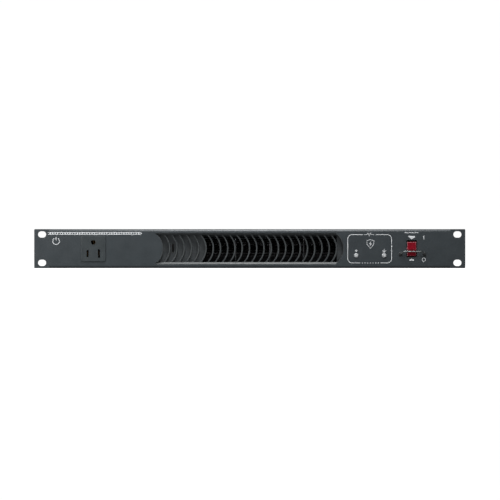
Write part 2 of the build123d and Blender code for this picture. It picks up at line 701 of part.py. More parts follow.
def cord_gland():
    shape = rod_y(GLAND_X, REAR_FACE_Y - GLAND_THREAD_LENGTH, REAR_FACE_Y, 0, GLAND_THREAD_R)
    hex_end_y = REAR_FACE_Y + GLAND_HEX_T
    shape += plate_y(Pos(GLAND_X, 0) * RegularPolygon(GLAND_HEX_R, 6), REAR_FACE_Y, hex_end_y)
    dome = Cone(*GLAND_DOME_R, GLAND_DOME_LENGTH)
    shape += Pos(GLAND_X, hex_end_y + GLAND_DOME_LENGTH / 2, 0) * Rot(-90, 0, 0) * dome
    return shape - rod_y(GLAND_X, REAR_FACE_Y - 20, REAR_FACE_Y + 20, 0, GLAND_BORE_R)


def gland_nut():
    hexagon = Pos(GLAND_X, 0) * RegularPolygon(GLAND_NUT_R, 6)
    nut = plate_y(hexagon, REAR_INNER_Y - GLAND_HEX_T, REAR_INNER_Y)
    return nut - rod_y(GLAND_X, REAR_FACE_Y - 20, REAR_FACE_Y, 0, GLAND_THREAD_R + SCREW_GAP)


def earth_stud():
    """Stepped stud: the thick part is clamped to the panel, the thin end takes a bonding lead."""
    free_end_y = STUD_STEP_Y + STUD_FREE_LENGTH
    stud = rod_y(STUD_X, REAR_FACE_Y - STUD_INNER_LENGTH, STUD_STEP_Y, 0, STUD_BASE_R)
    stud += rod_y(STUD_X, STUD_STEP_Y, free_end_y, 0, STUD_R)
    tip = Rot(-90, 0, 0) * Cone(STUD_R, STUD_R - STUD_TIP, STUD_TIP)
    stud += Pos(STUD_X, free_end_y + STUD_TIP / 2, 0) * tip
    hexagon = Pos(STUD_X, 0) * RegularPolygon(STUD_HEX_R, 6)
    return stud + plate_y(hexagon, REAR_FACE_Y - STUD_INNER_LENGTH, REAR_INNER_Y)


def earth_nut():
    nut = plate_y(Pos(STUD_X, 0) * RegularPolygon(STUD_NUT_R, 6), REAR_FACE_Y, STUD_STEP_Y - ROOT)
    return nut - rod_y(STUD_X, REAR_FACE_Y - PAST, STUD_STEP_Y + PAST, 0, STUD_BASE_R + SCREW_GAP)


# ---------------------------------------------------------------- blower
def on_circle(centre, radius, degrees):
    """A point on a circle, its angle measured from +Y towards +Z."""
    angle = math.radians(degrees)
    return (centre[0] + radius * math.cos(angle), centre[1] + radius * math.sin(angle))


def blower_scroll():
    """Sheet that runs back under the impeller and up behind it."""
    centre = (SHAFT_Y + SCROLL_SHIFT_Y, SCROLL_LOW_Z + SCROLL_R)
    half_t = SCROLL_T / 2
    out_r = SCROLL_R + half_t
    in_r = SCROLL_R - half_t
    mid_angle = (SCROLL_END_ANGLE - 90) / 2
    low_out, low_in = (centre[0], SCROLL_LOW_Z - half_t), (centre[0], SCROLL_LOW_Z + half_t)
    end_out, end_in = on_circle(centre, out_r, SCROLL_END_ANGLE), on_circle(centre, in_r, SCROLL_END_ANGLE)
    front_out, front_in = (PLATE_FRONT_Y, SCROLL_LOW_Z - half_t), (PLATE_FRONT_Y, SCROLL_LOW_Z + half_t)
    face = make_face([
        Line(front_out, low_out),
        ThreePointArc(low_out, on_circle(centre, out_r, mid_angle), end_out),
        Line(end_out, end_in),
        ThreePointArc(end_in, on_circle(centre, in_r, mid_angle), low_in),
        Line(low_in, front_in),
        Line(front_in, front_out),
    ])
    return bar_x(face, PLATE_LEFT_X, PLATE_RIGHT_X)


def blower_tongue():
    """Folded strip above the discharge that separates it from the intake."""
    path = FilletPolyline(*TONGUE_LINE, radius=TONGUE_BEND_R)
    return bar_x(trace(path, TONGUE_T), PLATE_LEFT_X, PLATE_RIGHT_X)


def blower_plate(x0, outward):
    """End plate with a foot. outward is -1 for the left plate and +1 for the right one."""
    shape = block(x0, x0 + outward * PLATE_T, PLATE_FRONT_Y, PLATE_BACK_Y, -INNER_Z, PLATE_TOP_Z)
    shape += block(x0, x0 + outward * FOOT_LENGTH, *FOOT_Y, -INNER_Z, PLATE_T - INNER_Z)
    return drill(shape)


def blower_plate_left():
    x0, x1 = PLATE_LEFT_X - 2 * PLATE_T, PLATE_LEFT_X + PLATE_T
    shape = blower_plate(PLATE_LEFT_X, -1) - rod_x(x0, x1, SHAFT_Y, SHAFT_Z, MOTOR_SIDE_HOLE_R)
    return shape - [rod_x(x0, x1, y, z, BOLT_R + SCREW_GAP) for y, z in MOTOR_BOLTS]


def blower_plate_right():
    x0, x1 = PLATE_RIGHT_X - PLATE_T, PLATE_RIGHT_X + 2 * PLATE_T
    shape = blower_plate(PLATE_RIGHT_X, 1) - rod_x(x0, x1, SHAFT_Y, SHAFT_Z, GROMMET_GROOVE_R)
    return shape + block(*FACE_LIP_X, PLATE_FRONT_Y - 1.0, PLATE_FRONT_Y, -FACE_LIP_HALF_Z, FACE_LIP_HALF_Z)


def idle_grommet():
    """Rubber ring whose groove sits in the right end plate."""
    x_mid = PLATE_RIGHT_X + PLATE_T / 2
    x0, x1 = x_mid - GROMMET_HALF_T, x_mid + GROMMET_HALF_T
    groove = rod_x(x_mid - PLATE_T / 2, x_mid + PLATE_T / 2, SHAFT_Y, SHAFT_Z, GROMMET_R + PAST)
    groove -= rod_x(x0, x1, SHAFT_Y, SHAFT_Z, GROMMET_GROOVE_R)
    ring = rod_x(x0, x1, SHAFT_Y, SHAFT_Z, GROMMET_R) - groove
    return ring - rod_x(x0 - PAST, x1 + PAST, SHAFT_Y, SHAFT_Z, BUSH_R)


def bush(x0, x1):
    """Sintered bush with a running bore."""
    ring = rod_x(x0, x1, SHAFT_Y, SHAFT_Z, BUSH_R)
    return ring - rod_x(x0 - PAST, x1 + PAST, SHAFT_Y, SHAFT_Z, SHAFT_HOLE_R)


def impeller():
    """Drum of curved blades between discs, with a hub at each end."""
    outer = IMPELLER_R - 0.3
    inner = outer - BLADE_DEPTH
    middle = ((inner + outer) / 2 + 0.2, BLADE_LEAN / 4)
    section = trace(ThreePointArc((inner, 0), middle, (outer, BLADE_LEAN)), BLADE_T)
    blade = bar_x(section, IMPELLER_X0, IMPELLER_X1)
    blades = [Rot(i * 360 / BLADE_COUNT, 0, 0) * blade for i in range(BLADE_COUNT)]
    pitch = (IMPELLER_X1 - IMPELLER_X0 - DISC_T) / (DISC_COUNT - 1)
    starts = [IMPELLER_X0 + i * pitch for i in range(DISC_COUNT)]
    discs = [rod_x(x, x + DISC_T, 0, 0, IMPELLER_R) for x in starts]
    drum = discs[0].fuse(*discs[1:], *blades)
    for x0, x1 in ((IMPELLER_X0, IMPELLER_X0 + HUB_LENGTH), (IMPELLER_X1 - HUB_LENGTH, IMPELLER_X1)):
        drum += rod_x(x0, x1, 0, 0, HUB_R)
        drum -= rod_x(x0 - PAST, x1 + PAST, 0, 0, SHAFT_R)
    return Pos(0, SHAFT_Y, SHAFT_Z) * drum


# ---------------------------------------------------------------- motor
def motor_stator():
    """Lamination stack with a rotor bore, and a window that leaves a leg for the coil."""
    outline = Pos((STATOR_FRONT_Y + LEG_Y[1]) / 2, 0) * RectangleRounded(
        LEG_Y[1] - STATOR_FRONT_Y, STATOR_HEIGHT, STATOR_CORNER_R)
    outline -= Pos(SHAFT_Y, SHAFT_Z) * Circle(STATOR_BORE_R)
    outline -= Pos(sum(WINDOW_Y) / 2, 0) * Rectangle(WINDOW_Y[1] - WINDOW_Y[0], WINDOW_HEIGHT)
    for side in (-1, 1):
        gap = Rectangle(POLE_GAP, POLE_GAP_DEPTH)
        outline -= Pos(SHAFT_Y + POLE_GAP_SHIFT_Y, side * (STATOR_BORE_R - 0.5)) * gap
    for y, z in MOTOR_BOLTS:
        outline -= Pos(y, z) * Circle(BOLT_R + SCREW_GAP)
    return bar_x(outline, *STATOR_X)


def motor_coil():
    """Winding on a bobbin around the stator's back leg."""
    shape = block(*COIL_X, *COIL_Y, -COIL_HALF_Z, COIL_HALF_Z)
    shape = fillet(shape.edges().filter_by(Axis.Z), COIL_CORNER_R)
    x0, x1 = COIL_X[0] - BOBBIN_OVERHANG, COIL_X[1] + BOBBIN_OVERHANG
    y0, y1 = COIL_Y[0] - BOBBIN_OVERHANG, COIL_Y[1] + BOBBIN_OVERHANG
    for z in (-COIL_HALF_Z - BOBBIN_T, COIL_HALF_Z):
        flange = block(x0, x1, y0, y1, z, z + BOBBIN_T)
        shape += fillet(flange.edges().filter_by(Axis.Z), COIL_CORNER_R - BOBBIN_OVERHANG)
    leg_half_z = COIL_HALF_Z + 2 * BOBBIN_T
    return shape - block(STATOR_X[0] - FIT_GAP, STATOR_X[1] + FIT_GAP, LEG_Y[0] - FIT_GAP, LEG_Y[1] + FIT_GAP,
                         -leg_half_z, leg_half_z)


def motor_rotor():
    shape = rod_x(*STATOR_X, SHAFT_Y, SHAFT_Z, ROTOR_R)
    for x in (STATOR_X[0] - ROTOR_RING_T, STATOR_X[1]):
        shape += rod_x(x, x + ROTOR_RING_T, SHAFT_Y, SHAFT_Z, ROTOR_RING_R)
    bore_x0, bore_x1 = STATOR_X[0] - 2 * ROTOR_RING_T, STATOR_X[1] + 2 * ROTOR_RING_T
    return shape - rod_x(bore_x0, bore_x1, SHAFT_Y, SHAFT_Z, SHAFT_R)


def motor_bracket(plate_x, post_from, post_to):
    """Cross plate that holds a bush, standing on four posts."""
    outline = Pos(SHAFT_Y, 0) * RectangleRounded(BRACKET_SIZE, BRACKET_SIZE, BRACKET_CORNER_R)
    boss_x0, boss_x1 = plate_x - BRACKET_BOSS_REACH, plate_x + BRACKET_T + BRACKET_BOSS_REACH
    shape = bar_x(outline, plate_x, plate_x + BRACKET_T)
    shape += rod_x(boss_x0, boss_x1, SHAFT_Y, SHAFT_Z, BRACKET_BOSS_R)
    for y, z in MOTOR_BOLTS:
        shape += rod_x(post_from, post_to, y, z, POST_R)
    for y, z in MOTOR_BOLTS:
        shape -= rod_x(post_from - BRACKET_T - PAST, post_to + BRACKET_T + PAST, y, z, BOLT_R + SCREW_GAP)
    return shape - rod_x(boss_x0 - PAST, boss_x1 + PAST, SHAFT_Y, SHAFT_Z, BUSH_R)


def motor_bolts():
    """Long bolts through both brackets and the stator into the blower's left end plate."""
    head_x = BRACKET_X[0] - BOLT_HEAD_T
    bolts = []
    for y, z in MOTOR_BOLTS:
        bolt = rod_x(BRACKET_X[0], PLATE_LEFT_X, y, z, BOLT_R)
        bolt += rod_x(head_x, BRACKET_X[0], y, z, BOLT_HEAD_R)
        bolt -= block(head_x - PAST, head_x + 0.8, y - POST_R, y + POST_R, z - 0.4, z + 0.4)
        bolts.append(bolt)
    return Compound(bolts)


def motor_bushes():
    bushes = []
    for plate_x in BRACKET_X:
        bushes.append(bush(plate_x - BRACKET_BOSS_REACH, plate_x + BRACKET_T + BRACKET_BOSS_REACH))
    return Compound(bushes)


# ---------------------------------------------------------------- surge board
def surge_board():
    middle = Pos(sum(BOARD_X) / 2, 0)
    outline = RectangleRounded(BOARD_X[1] - BOARD_X[0], BOARD_HEIGHT, BOARD_CORNER_R)
    shape = plate_y(middle * outline, BOARD_Y, BOARD_BACK_Y)
    for x, z in STANDOFF_PLACES:
        shape -= rod_y(x, BOARD_Y - PAST, BOARD_BACK_Y + PAST, z, SCREW_R + FIT_GAP)
    for x, z in LED_PLACES:
        for leg in (-LED_LEG_OFFSET, LED_LEG_OFFSET):
            shape -= rod_y(x + leg, BOARD_Y - PAST, BOARD_BACK_Y + PAST, z, LED_LEG_R + SCREW_GAP)
    return shape


def board_standoffs():
    posts = []
    for x, z in STANDOFF_PLACES:
        post = plate_y(Pos(x, z) * RegularPolygon(STANDOFF_R, 6), 0, BOARD_Y)
        posts.append(post - rod_y(x, BOARD_Y - BOARD_SCREW_REACH - 2 * PAST, BOARD_Y + PAST, z, SCREW_R))
    return Compound(posts)


def board_screws():
    head_end_y = BOARD_BACK_Y + BOARD_SCREW_HEAD_T
    screws = []
    for x, z in STANDOFF_PLACES:
        screw = rod_y(x, BOARD_Y - BOARD_SCREW_REACH, BOARD_BACK_Y, z, SCREW_R)
        screw += rod_y(x, BOARD_BACK_Y, head_end_y, z, BOARD_SCREW_HEAD_R)
        slot = block(x - STANDOFF_R, x + STANDOFF_R, head_end_y - 0.7, head_end_y + PAST, z - 0.35, z + 0.35)
        screws.append(screw - slot)
    return Compound(screws)


def led(x, z):
    """Clear lamp with a dome that stands a little out of the panel."""
    reach = LED_R + PAST
    dome = Pos(x, -PANEL_T, z) * Sphere(LED_R)
    dome &= block(x - reach, x + reach, -PANEL_T - LED_R * LED_DOME, -PANEL_T, z - reach, z + reach)
    shape = rod_y(x, -PANEL_T, LED_BACK_Y, z, LED_R) + dome
    shape += rod_y(x, LED_BACK_Y - 1.0, LED_BACK_Y, z, LED_FLANGE_R)
    for leg in (-LED_LEG_OFFSET, LED_LEG_OFFSET):
        shape += rod_y(x + leg, LED_BACK_Y - 0.5, BOARD_BACK_Y + 0.8, z, LED_LEG_R)
    return shape


def varistors():
    """Coated discs that stand on the board on two wires each."""
    disc_y = BOARD_BACK_Y + VARISTOR_STANDOFF
    discs = []
    for x in VARISTOR_X:
        disc = rod_x(x - VARISTOR_T / 2, x + VARISTOR_T / 2, disc_y, VARISTOR_Z, VARISTOR_R)
        disc = fillet(disc.edges(), 1.0)
        for z in (VARISTOR_Z - 3.0, VARISTOR_Z + 3.0):
            disc += rod_y(x, BOARD_BACK_Y, disc_y - 3.0, z, WIRE_R)
        discs.append(disc)
    return Compound(discs)


def thermal_fuse():
    """Tubular fuse on bent wire legs."""
    fuse_y = BOARD_BACK_Y + FUSE_STANDOFF
    leg_x = (FUSE_X[0] - FUSE_LEG_REACH, FUSE_X[1] + FUSE_LEG_REACH)
    body = rod_x(*FUSE_X, fuse_y, FUSE_Z, FUSE_R)
    body = fillet(body.edges(), 0.6)
    for x in leg_x:
        body += rod_y(x, BOARD_BACK_Y, fuse_y + WIRE_R, FUSE_Z, WIRE_R)
    return body + rod_x(leg_x[0] - WIRE_R, leg_x[1] + WIRE_R, fuse_y, FUSE_Z, WIRE_R)


# ---------------------------------------------------------------- rocker breaker
def switch_housing():
    """Open-fronted box with a frame that fills the panel's opening, and sockets for the trunnions."""
    x = SWITCH_X
    shape = block(x - HOUSING_HALF_W, x + HOUSING_HALF_W, 0, SWITCH_DEPTH, -HOUSING_HALF_Z, HOUSING_HALF_Z)
    shape = fillet(shape.edges().filter_by(Axis.Y), 0.8)
    frame = RectangleRounded(SWITCH_HOLE_W - FIT_GAP, SWITCH_HOLE_H - FIT_GAP, SWITCH_HOLE_CORNER_R - FIT_GAP)
    shape += plate_y(Pos(x, 0) * frame, FRAME_SETBACK - PANEL_T, 0)
    shape -= block(x - CAVITY_HALF_W, x + CAVITY_HALF_W, -PANEL_T - PAST, SWITCH_DEPTH - SWITCH_WALL,
                   -CAVITY_HALF_Z, CAVITY_HALF_Z)
    socket_half_x = TRUNNION_HALF_X + FIT_GAP
    shape -= rod_x(x - socket_half_x, x + socket_half_x, ROCKER_PIVOT_Y, 0, TRUNNION_R + SCREW_GAP)
    slot_half_w = BREAKER_TAB_HALF_W + SCREW_GAP
    slot_half_t = BREAKER_TAB_T / 2 + SCREW_GAP
    for z in BREAKER_TAB_Z:
        shape -= block(x - slot_half_w, x + slot_half_w, SWITCH_DEPTH - SWITCH_WALL - PAST,
                       SWITCH_DEPTH + PAST, z - slot_half_t, z + slot_half_t)
    return shape


def rest_turn(pivot_y, angle):
    """Turns a piece about an X axis behind the panel into its rest place."""
    return Pos(0, pivot_y, 0) * Rot(angle, 0, 0) * Pos(0, -pivot_y, 0)


def switch_rocker():
    """Two flat faces that meet at a shallow crest, on two trunnions."""
    half = ROCKER_HALF_Z
    shoulder = half - 0.3
    profile = Polygon(
        (ROCKER_END_Y, -half), (ROCKER_CREST_Y, 0), (ROCKER_END_Y, half), (ROCKER_SHOULDER_Y, shoulder),
        (ROCKER_FOOT_Y, ROCKER_FOOT_HALF_Z), (ROCKER_FOOT_Y, -ROCKER_FOOT_HALF_Z),
        (ROCKER_SHOULDER_Y, -shoulder), align=None)
    shape = bar_x(profile, SWITCH_X - ROCKER_W / 2, SWITCH_X + ROCKER_W / 2)
    near_face = ROCKER_END_Y + ROCKER_EDGE_R
    sides = shape.edges().filter_by(lambda e: e.center().Y < near_face and abs(e.center().X - SWITCH_X) > 1)
    ends = shape.edges().filter_by(Axis.X).filter_by(lambda e: e.center().Y < near_face)
    shape = fillet(sides + ends, ROCKER_EDGE_R)
    for z in (-POCKET_Z, POCKET_Z):
        shape -= block(SWITCH_X - POCKET_HALF_W, SWITCH_X + POCKET_HALF_W, POCKET_FRONT_Y,
                       ROCKER_FOOT_Y + PAST, z - POCKET_HALF_H, z + POCKET_HALF_H)
    shape += rod_x(SWITCH_X - TRUNNION_HALF_X, SWITCH_X + TRUNNION_HALF_X, ROCKER_PIVOT_Y, 0, TRUNNION_R)
    shape -= rod_y(SWITCH_X, PLUNGER_Y[0], ROCKER_FOOT_Y + 2 * PAST, 0, PLUNGER_R + SCREW_GAP)
    return rest_turn(ROCKER_PIVOT_Y, ROCKER_TILT) * shape


def switch_plunger():
    """Sprung pin in the rocker's foot that pushes the contact bridge over."""
    shape = rod_y(SWITCH_X, *PLUNGER_Y, 0, PLUNGER_R) + Pos(SWITCH_X, PLUNGER_Y[1], 0) * Sphere(PLUNGER_R)
    return rest_turn(ROCKER_PIVOT_Y, ROCKER_TILT) * shape


def contact_bridge():
    """See-saw on a round fulcrum that closes the circuit, with a contact button at each end."""
    front_y, back_y = BRIDGE_PIVOT_Y - BRIDGE_HALF_T, BRIDGE_PIVOT_Y + BRIDGE_HALF_T
    bar = block(SWITCH_X - BRIDGE_HALF_W, SWITCH_X + BRIDGE_HALF_W, front_y, back_y, -BRIDGE_HALF_L,
                BRIDGE_HALF_L)
    for z in (-BUTTON_Z, BUTTON_Z):
        bar += rod_y(SWITCH_X, back_y, back_y + BUTTON_T, z, BUTTON_R)
    bar += rod_x(SWITCH_X - FULCRUM_HALF_X, SWITCH_X + FULCRUM_HALF_X, BRIDGE_PIVOT_Y, 0, FULCRUM_R)
    return rest_turn(BRIDGE_PIVOT_Y, -BRIDGE_TILT) * bar


def switch_terminals():
    tabs = []
    for z, inner_y in zip(BREAKER_TAB_Z, BREAKER_TAB_INNER_Y):
        tab = block(SWITCH_X - BREAKER_TAB_HALF_W, SWITCH_X + BREAKER_TAB_HALF_W, inner_y,
                    SWITCH_DEPTH + BREAKER_TAB_REACH, z - BREAKER_TAB_T / 2, z + BREAKER_TAB_T / 2)
        tabs.append(tab - Pos(SWITCH_X, SWITCH_DEPTH + 5, z) * Cylinder(0.9, 4))
    return Compound(tabs)


def switch_guard():
    """Bent wire that stands off the panel and crosses the rocker's lower half."""
    left, right = GUARD_FEET_X
    path = FilletPolyline(
        (left, GUARD_END_Y, GUARD_FOOT_Z), (left, GUARD_TURN_Y, GUARD_FOOT_Z),
        (left + GUARD_SLANT, GUARD_BAR_Y, GUARD_BAR_Z), (right - GUARD_SLANT, GUARD_BAR_Y, GUARD_BAR_Z),
        (right, GUARD_TURN_Y, GUARD_FOOT_Z), (right, GUARD_END_Y, GUARD_FOOT_Z), radius=GUARD_BEND_R)
    section = Plane(origin=path @ 0, z_dir=path % 0) * Circle(GUARD_R)
    return sweep(section, path=path)


def guard_collars():
    """Push-on collars that seat the guard's ends on the panel."""
    front_y = -PANEL_T - COLLAR_T
    collars = []
    for x in GUARD_FEET_X:
        ring = rod_y(x, front_y, -PANEL_T, GUARD_FOOT_Z, COLLAR_R)
        ring = fillet(ring.faces().sort_by(Axis.Y)[0].edges(), COLLAR_EDGE_R)
        collars.append(ring - rod_y(x, front_y - PAST, PAST, GUARD_FOOT_Z, GUARD_R))
    return Compound(collars)


# ---------------------------------------------------------------- leads
def lead(points):
    """Insulated lead along straight runs joined by arcs as large as the runs allow."""
    corners = [Vector(*point) for point in points]
    radii = []
    for before, here, after in zip(corners, corners[1:], corners[2:]):
        shorter = min((here - before).length, (after - here).length)
        half_turn = math.radians((here - before).get_angle(after - here)) / 2
        radii.append(0.45 * shorter / math.tan(half_turn))
    path = FilletPolyline(*points, radius=radii)
    section = Plane(origin=path @ 0, z_dir=path % 0) * Circle(LEAD_R)
    return sweep(section, path=path)


def switch_leads():
    """From the terminal block to the breaker's lower tab, and from its middle tab to the live bus bar."""
    x, tab_y, low_z = SWITCH_X, SWITCH_DEPTH + 10, BREAKER_TAB_Z[0]
    feed = lead([(148, 170, -10), (166, 168, -10.5), (182, 142, -12), (183, 95, -14), (181.6, 52, -10.5),
                 (x, tab_y, low_z)])
    load = lead([(x, tab_y, 0), (x, 52, 0.5), (171, 90, -2), (150, 118, -6), (130, 140, -9),
                 (122.5, 168, -10)])
    return Compound([feed, load])


def motor_leads():
    """The two coil leads, from the bus bars to the bobbin."""
    pair = []
    for offset, end_z in ((0, -10.0), (7, -1.0)):
        x = -84 + offset
        pair.append(lead([(x, 94.5, 0), (x, 108, 0), (x - 6, 125, -4), (x - 4, 145, end_z),
                          (x - 3.5, 166, end_z)]))
    return Compound(pair)


def front_outlet_leads():
    """Three leads from the bus bars' left ends to the front outlet's tabs."""
    half = BLADE_SPACING / 2
    leads = []
    for x, start_z, end_z in ((-half, BLADE_Z, -10.0), (half, BLADE_Z, -1.0), (0, GROUND_Z, GROUND_Z)):
        cx = FRONT_OUTLET_X + x
        leads.append(lead([(cx, 35.5, start_z), (cx, 64, start_z), (cx - 3, 100, (start_z + end_z) / 2),
                           (cx - 3, 140, end_z), (cx - 5, 166, end_z)]))
    return Compound(leads)


# ---------------------------------------------------------------- everything
def build():
    os.makedirs("parts", exist_ok=True)
    save(front_panel(), "front_panel")
    save(chassis_base(), "chassis_base")
    save(top_cover(), "top_cover")
    save(rear_panel(), "rear_panel")
    save(case_screws(), "case_screws")
    save(vane_grille(), "vane_grille")
    save(grille_nuts(), "grille_nuts")
    save(motor_baffle(), "motor_baffle")
    save(outlet(FRONT_OUTLET_X, -1), "front_outlet")
    save(front_outlet_contacts(), "front_outlet_contacts")
    for i, x in enumerate(REAR_OUTLETS_X):
        save(outlet(x, 1), "rear_outlet_" + str(i + 1))
    save(bus_bar(BLADE_SPACING / 2, BLADE_Z, LIVE_BAR_Z), "live_bus")
    save(bus_bar(-BLADE_SPACING / 2, BLADE_Z, NEUTRAL_BAR_Z), "neutral_bus")
    save(bus_bar(0, GROUND_Z, EARTH_BAR_Z), "earth_bus")
    save(terminal_block(), "terminal_block")
    save(terminal_screws(), "terminal_screws")
    save(cord_gland(), "cord_gland")
    save(gland_nut(), "gland_nut")
    save(earth_stud(), "earth_stud")
    save(earth_nut(), "earth_nut")
    save(blower_scroll(), "blower_scroll")
    save(blower_tongue(), "blower_tongue")
    save(blower_plate_left(), "blower_plate_left")
    save(blower_plate_right(), "blower_plate_right")
    save(idle_grommet(), "idle_grommet")
    save(bush(*IDLE_BUSH_X), "idle_bush")
    save(motor_bushes(), "motor_bushes")
    save(impeller(), "impeller")
    save(rod_x(DRIVE_SHAFT_END_X, IMPELLER_X0 + HUB_LENGTH, SHAFT_Y, SHAFT_Z, SHAFT_R), "drive_shaft")
    save(rod_x(IMPELLER_X1 - HUB_LENGTH, IDLE_SHAFT_END_X, SHAFT_Y, SHAFT_Z, SHAFT_R), "idle_shaft")
    save(motor_stator(), "motor_stator")
    save(motor_coil(), "motor_coil")
    save(motor_rotor(), "motor_rotor")
    save(motor_bracket(BRACKET_X[0], BRACKET_X[0], STATOR_X[0]), "motor_bracket_left")
    save(motor_bracket(BRACKET_X[1], STATOR_X[1], PLATE_LEFT_X - PLATE_T), "motor_bracket_right")
    save(motor_bolts(), "motor_bolts")
    save(surge_board(), "surge_board")
    save(board_standoffs(), "board_standoffs")
    save(board_screws(), "board_screws")
    for i, (x, z) in enumerate(LED_PLACES):
        save(led(x, z), "led_" + str(i + 1))
    save(varistors(), "varistors")
    save(thermal_fuse(), "thermal_fuse")
    save(switch_housing(), "switch_housing")
    save(switch_rocker(), "switch_rocker")
    save(switch_plunger(), "switch_plunger")
    save(contact_bridge(), "contact_bridge")
    save(switch_terminals(), "switch_terminals")
    save(switch_guard(), "switch_guard")
    save(guard_collars(), "guard_collars")
    save(switch_leads(), "switch_leads")
    save(motor_leads(), "motor_leads")
    save(front_outlet_leads(), "front_outlet_leads")


build()
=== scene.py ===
import json
import math

import bmesh
import bpy
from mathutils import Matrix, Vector


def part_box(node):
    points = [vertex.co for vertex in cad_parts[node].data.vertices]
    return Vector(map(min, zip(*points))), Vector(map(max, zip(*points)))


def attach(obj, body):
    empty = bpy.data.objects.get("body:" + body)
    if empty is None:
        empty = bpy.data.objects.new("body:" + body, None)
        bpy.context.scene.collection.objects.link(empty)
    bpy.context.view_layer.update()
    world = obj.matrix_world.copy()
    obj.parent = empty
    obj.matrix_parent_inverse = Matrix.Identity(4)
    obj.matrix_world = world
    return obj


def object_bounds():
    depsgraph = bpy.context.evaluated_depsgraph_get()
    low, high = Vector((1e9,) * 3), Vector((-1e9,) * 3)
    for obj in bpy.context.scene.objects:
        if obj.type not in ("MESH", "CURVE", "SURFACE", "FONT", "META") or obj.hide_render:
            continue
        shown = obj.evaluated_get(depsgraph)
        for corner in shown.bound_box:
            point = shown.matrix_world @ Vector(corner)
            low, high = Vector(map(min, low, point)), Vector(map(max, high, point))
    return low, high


# Looks for a one-unit rack power strip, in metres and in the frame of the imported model.
# The front faces -Y and +Z is up. Lengths that are multiplied by MM are in millimetres.

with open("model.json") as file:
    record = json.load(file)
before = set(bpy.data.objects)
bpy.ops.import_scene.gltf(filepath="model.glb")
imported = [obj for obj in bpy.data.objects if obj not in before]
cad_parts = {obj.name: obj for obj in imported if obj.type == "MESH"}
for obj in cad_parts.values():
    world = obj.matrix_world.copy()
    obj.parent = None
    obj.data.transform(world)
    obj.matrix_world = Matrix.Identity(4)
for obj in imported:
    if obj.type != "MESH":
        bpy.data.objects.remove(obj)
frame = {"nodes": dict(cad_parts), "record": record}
CAD_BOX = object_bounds()
MM = 0.001
FACE_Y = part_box("front_panel")[0].y


# ---------------------------------------------------------------- camera, light and floor
LENS = 120.0
SENSOR = 36.0
VIEW_WIDTH = 0.5597
AIM_X = 0.28 * MM
AIM_Z = -1.52 * MM

WORLD_ABOVE = 0.28
WORLD_BELOW = 0.24
HORIZON = 0.25

FLOOR_RADIUS = 5.0
SWEEP_RADIUS = 1.5
SWEEP_STEPS = 12
WALL_TOP = 4.0
FLOOR_TURNS = 64
FLOOR_GLOW = 0.97


def make_camera():
    """A camera straight in front, where the picture is VIEW_WIDTH wide at the panel."""
    data = bpy.data.cameras.new("camera")
    data.lens = LENS
    data.sensor_width = SENSOR
    camera = bpy.data.objects.new("camera", data)
    distance = VIEW_WIDTH * LENS / SENSOR
    camera.location = (AIM_X, FACE_Y - distance, AIM_Z)
    camera.rotation_euler = (math.radians(90), 0, 0)
    bpy.context.scene.collection.objects.link(camera)
    bpy.context.scene.camera = camera


def make_area_light(name, place, target, size_x, size_y, power):
    """A soft rectangular light at a place, turned to a target, with its power in watts."""
    data = bpy.data.lights.new(name, "AREA")
    data.shape = "RECTANGLE"
    data.size = size_x
    data.size_y = size_y
    data.energy = power
    light = bpy.data.objects.new(name, data)
    light.location = place
    light.rotation_euler = (Vector(target) - Vector(place)).to_track_quat("-Z", "Y").to_euler()
    bpy.context.scene.collection.objects.link(light)


def set_inputs(node, values):
    """Set a node's unlinked inputs by name."""
    for key, value in values.items():
        node.inputs[key].default_value = value


def make_world():
    """Even white light that fades from above the horizon to a dimmer one below it."""
    world = bpy.data.worlds.new("studio")
    bpy.context.scene.world = world
    world.use_nodes = True
    tree = world.node_tree
    background = tree.nodes["Background"]
    background.inputs["Color"].default_value = (1, 1, 1, 1)
    direction = tree.nodes.new("ShaderNodeTexCoord")
    split = tree.nodes.new("ShaderNodeSeparateXYZ")
    fade = tree.nodes.new("ShaderNodeMapRange")
    tree.links.new(direction.outputs["Generated"], split.inputs["Vector"])
    tree.links.new(split.outputs["Z"], fade.inputs["Value"])
    tree.links.new(fade.outputs["Result"], background.inputs["Strength"])
    set_inputs(fade, {"From Min": -HORIZON, "From Max": HORIZON,
                      "To Min": WORLD_BELOW, "To Max": WORLD_ABOVE})


def floor_profile():
    """Radius and height along the floor, up the sweep and up the wall."""
    profile = [(0.0, 0.0), (FLOOR_RADIUS, 0.0)]
    for i in range(1, SWEEP_STEPS + 1):
        angle = math.radians(90) * i / SWEEP_STEPS
        profile.append((FLOOR_RADIUS + SWEEP_RADIUS * math.sin(angle),
                        SWEEP_RADIUS * (1 - math.cos(angle))))
    return profile + [(FLOOR_RADIUS + SWEEP_RADIUS, WALL_TOP)]


def make_floor():
    """A plain pale floor that sweeps up into a bright wall all round."""
    rows = []
    points = []
    for radius, height in floor_profile():
        row = []
        for i in range(FLOOR_TURNS if radius else 1):
            angle = math.radians(360) * i / FLOOR_TURNS
            row.append(len(points))
            points.append((radius * math.cos(angle), radius * math.sin(angle), height))
        rows.append(row)
    faces = []
    for i in range(FLOOR_TURNS):
        j = (i + 1) % FLOOR_TURNS
        faces.append((rows[0][0], rows[1][i], rows[1][j]))
        for low, high in zip(rows[1:], rows[2:]):
            faces.append((low[i], high[i], high[j], low[j]))
    mesh = bpy.data.meshes.new("floor")
    mesh.from_pydata(points, [], faces)
    floor = bpy.data.objects.new("floor", mesh)
    floor.location = (0, 0, CAD_BOX[0].z)
    floor.visible_diffuse = False
    floor.visible_glossy = False
    bpy.context.scene.collection.objects.link(floor)
    paint = Surface("floor_paint", (0.14, 0.14, 0.14), 0.9)
    paint.mottle(3, (0.15, 0.15, 0.15), 0.5)
    paint.shine(Emission_Color=(1, 1, 1, 1), Emission_Strength=FLOOR_GLOW)
    mesh.materials.append(paint.material)


